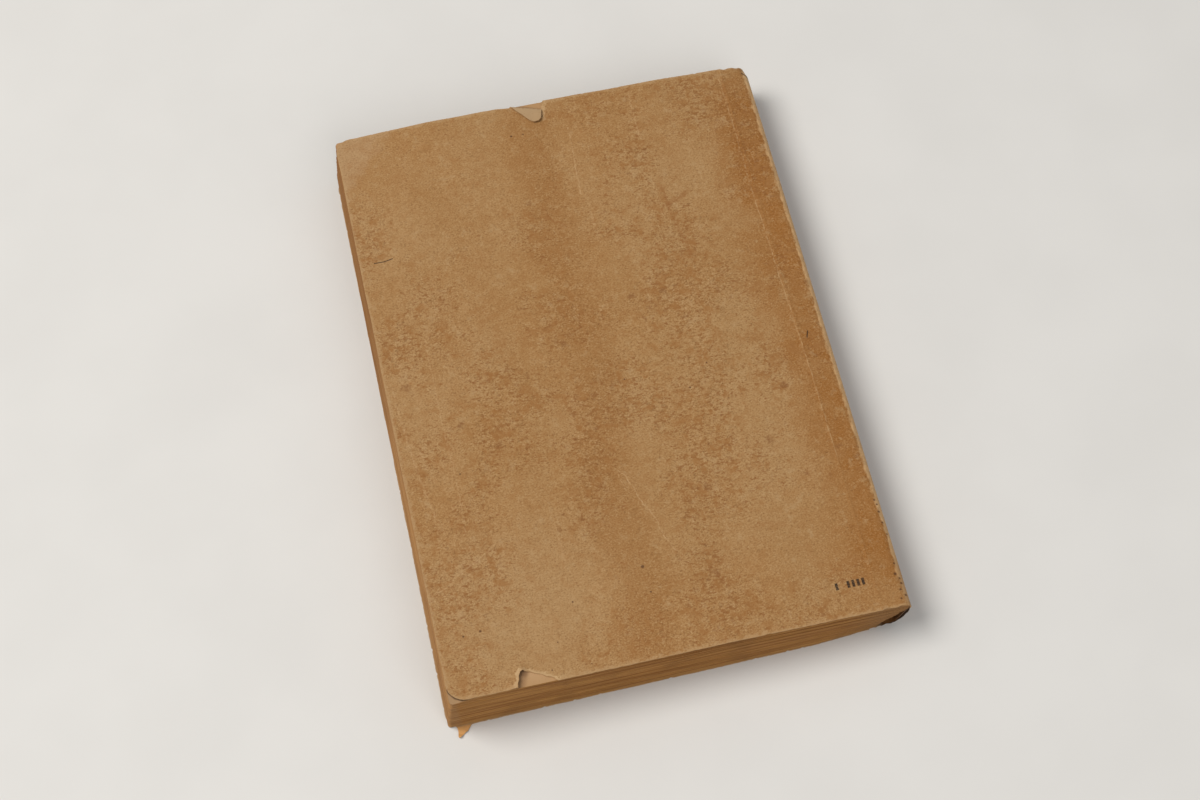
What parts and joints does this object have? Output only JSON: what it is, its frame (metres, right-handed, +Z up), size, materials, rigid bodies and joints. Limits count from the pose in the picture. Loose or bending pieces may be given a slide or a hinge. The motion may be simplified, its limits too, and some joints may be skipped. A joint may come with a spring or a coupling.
{
  "type": "paperback book",
  "caption": "Thick worn paperback book lying on its front cover: one block of swollen leaves glued into a plain tan card cover, both covers hinged at their creases.",
  "frame": {"origin": "middle of the footprint, on the surface that the book lies on", "axes": "+X from the fore edge to the spine, +Y from the tail to the head, +Z up out of the back cover"},
  "size_m": [0.1509, 0.2138, 0.0249],
  "materials": {
    "leaves": "matte aged paper, browned at the trimmed edges",
    "binding_glue": "dull amber glue",
    "cover_card": "matte tan card with mottling, paler at worn edges"
  },
  "bodies": {
    "book_block": {"page_block": "leaves", "spine_glue": "binding_glue", "spine": "cover_card"},
    "back_cover": {"back_cover": "cover_card"},
    "front_cover": {"front_cover": "cover_card"}
  },
  "joints": [
    {"name": "back_cover_hinge", "type": "hinge", "parent": "book_block", "child": "back_cover", "pos_m": [0.06595, 0, 0.01882], "axis": [0, 1, 0], "range_deg": [0, 170]},
    {"name": "front_cover_hinge", "type": "hinge", "parent": "book_block", "child": "front_cover", "pos_m": [0.06305, 0, 0], "axis": [0, -1, 0], "range_deg": [0, 170]}
  ]
}
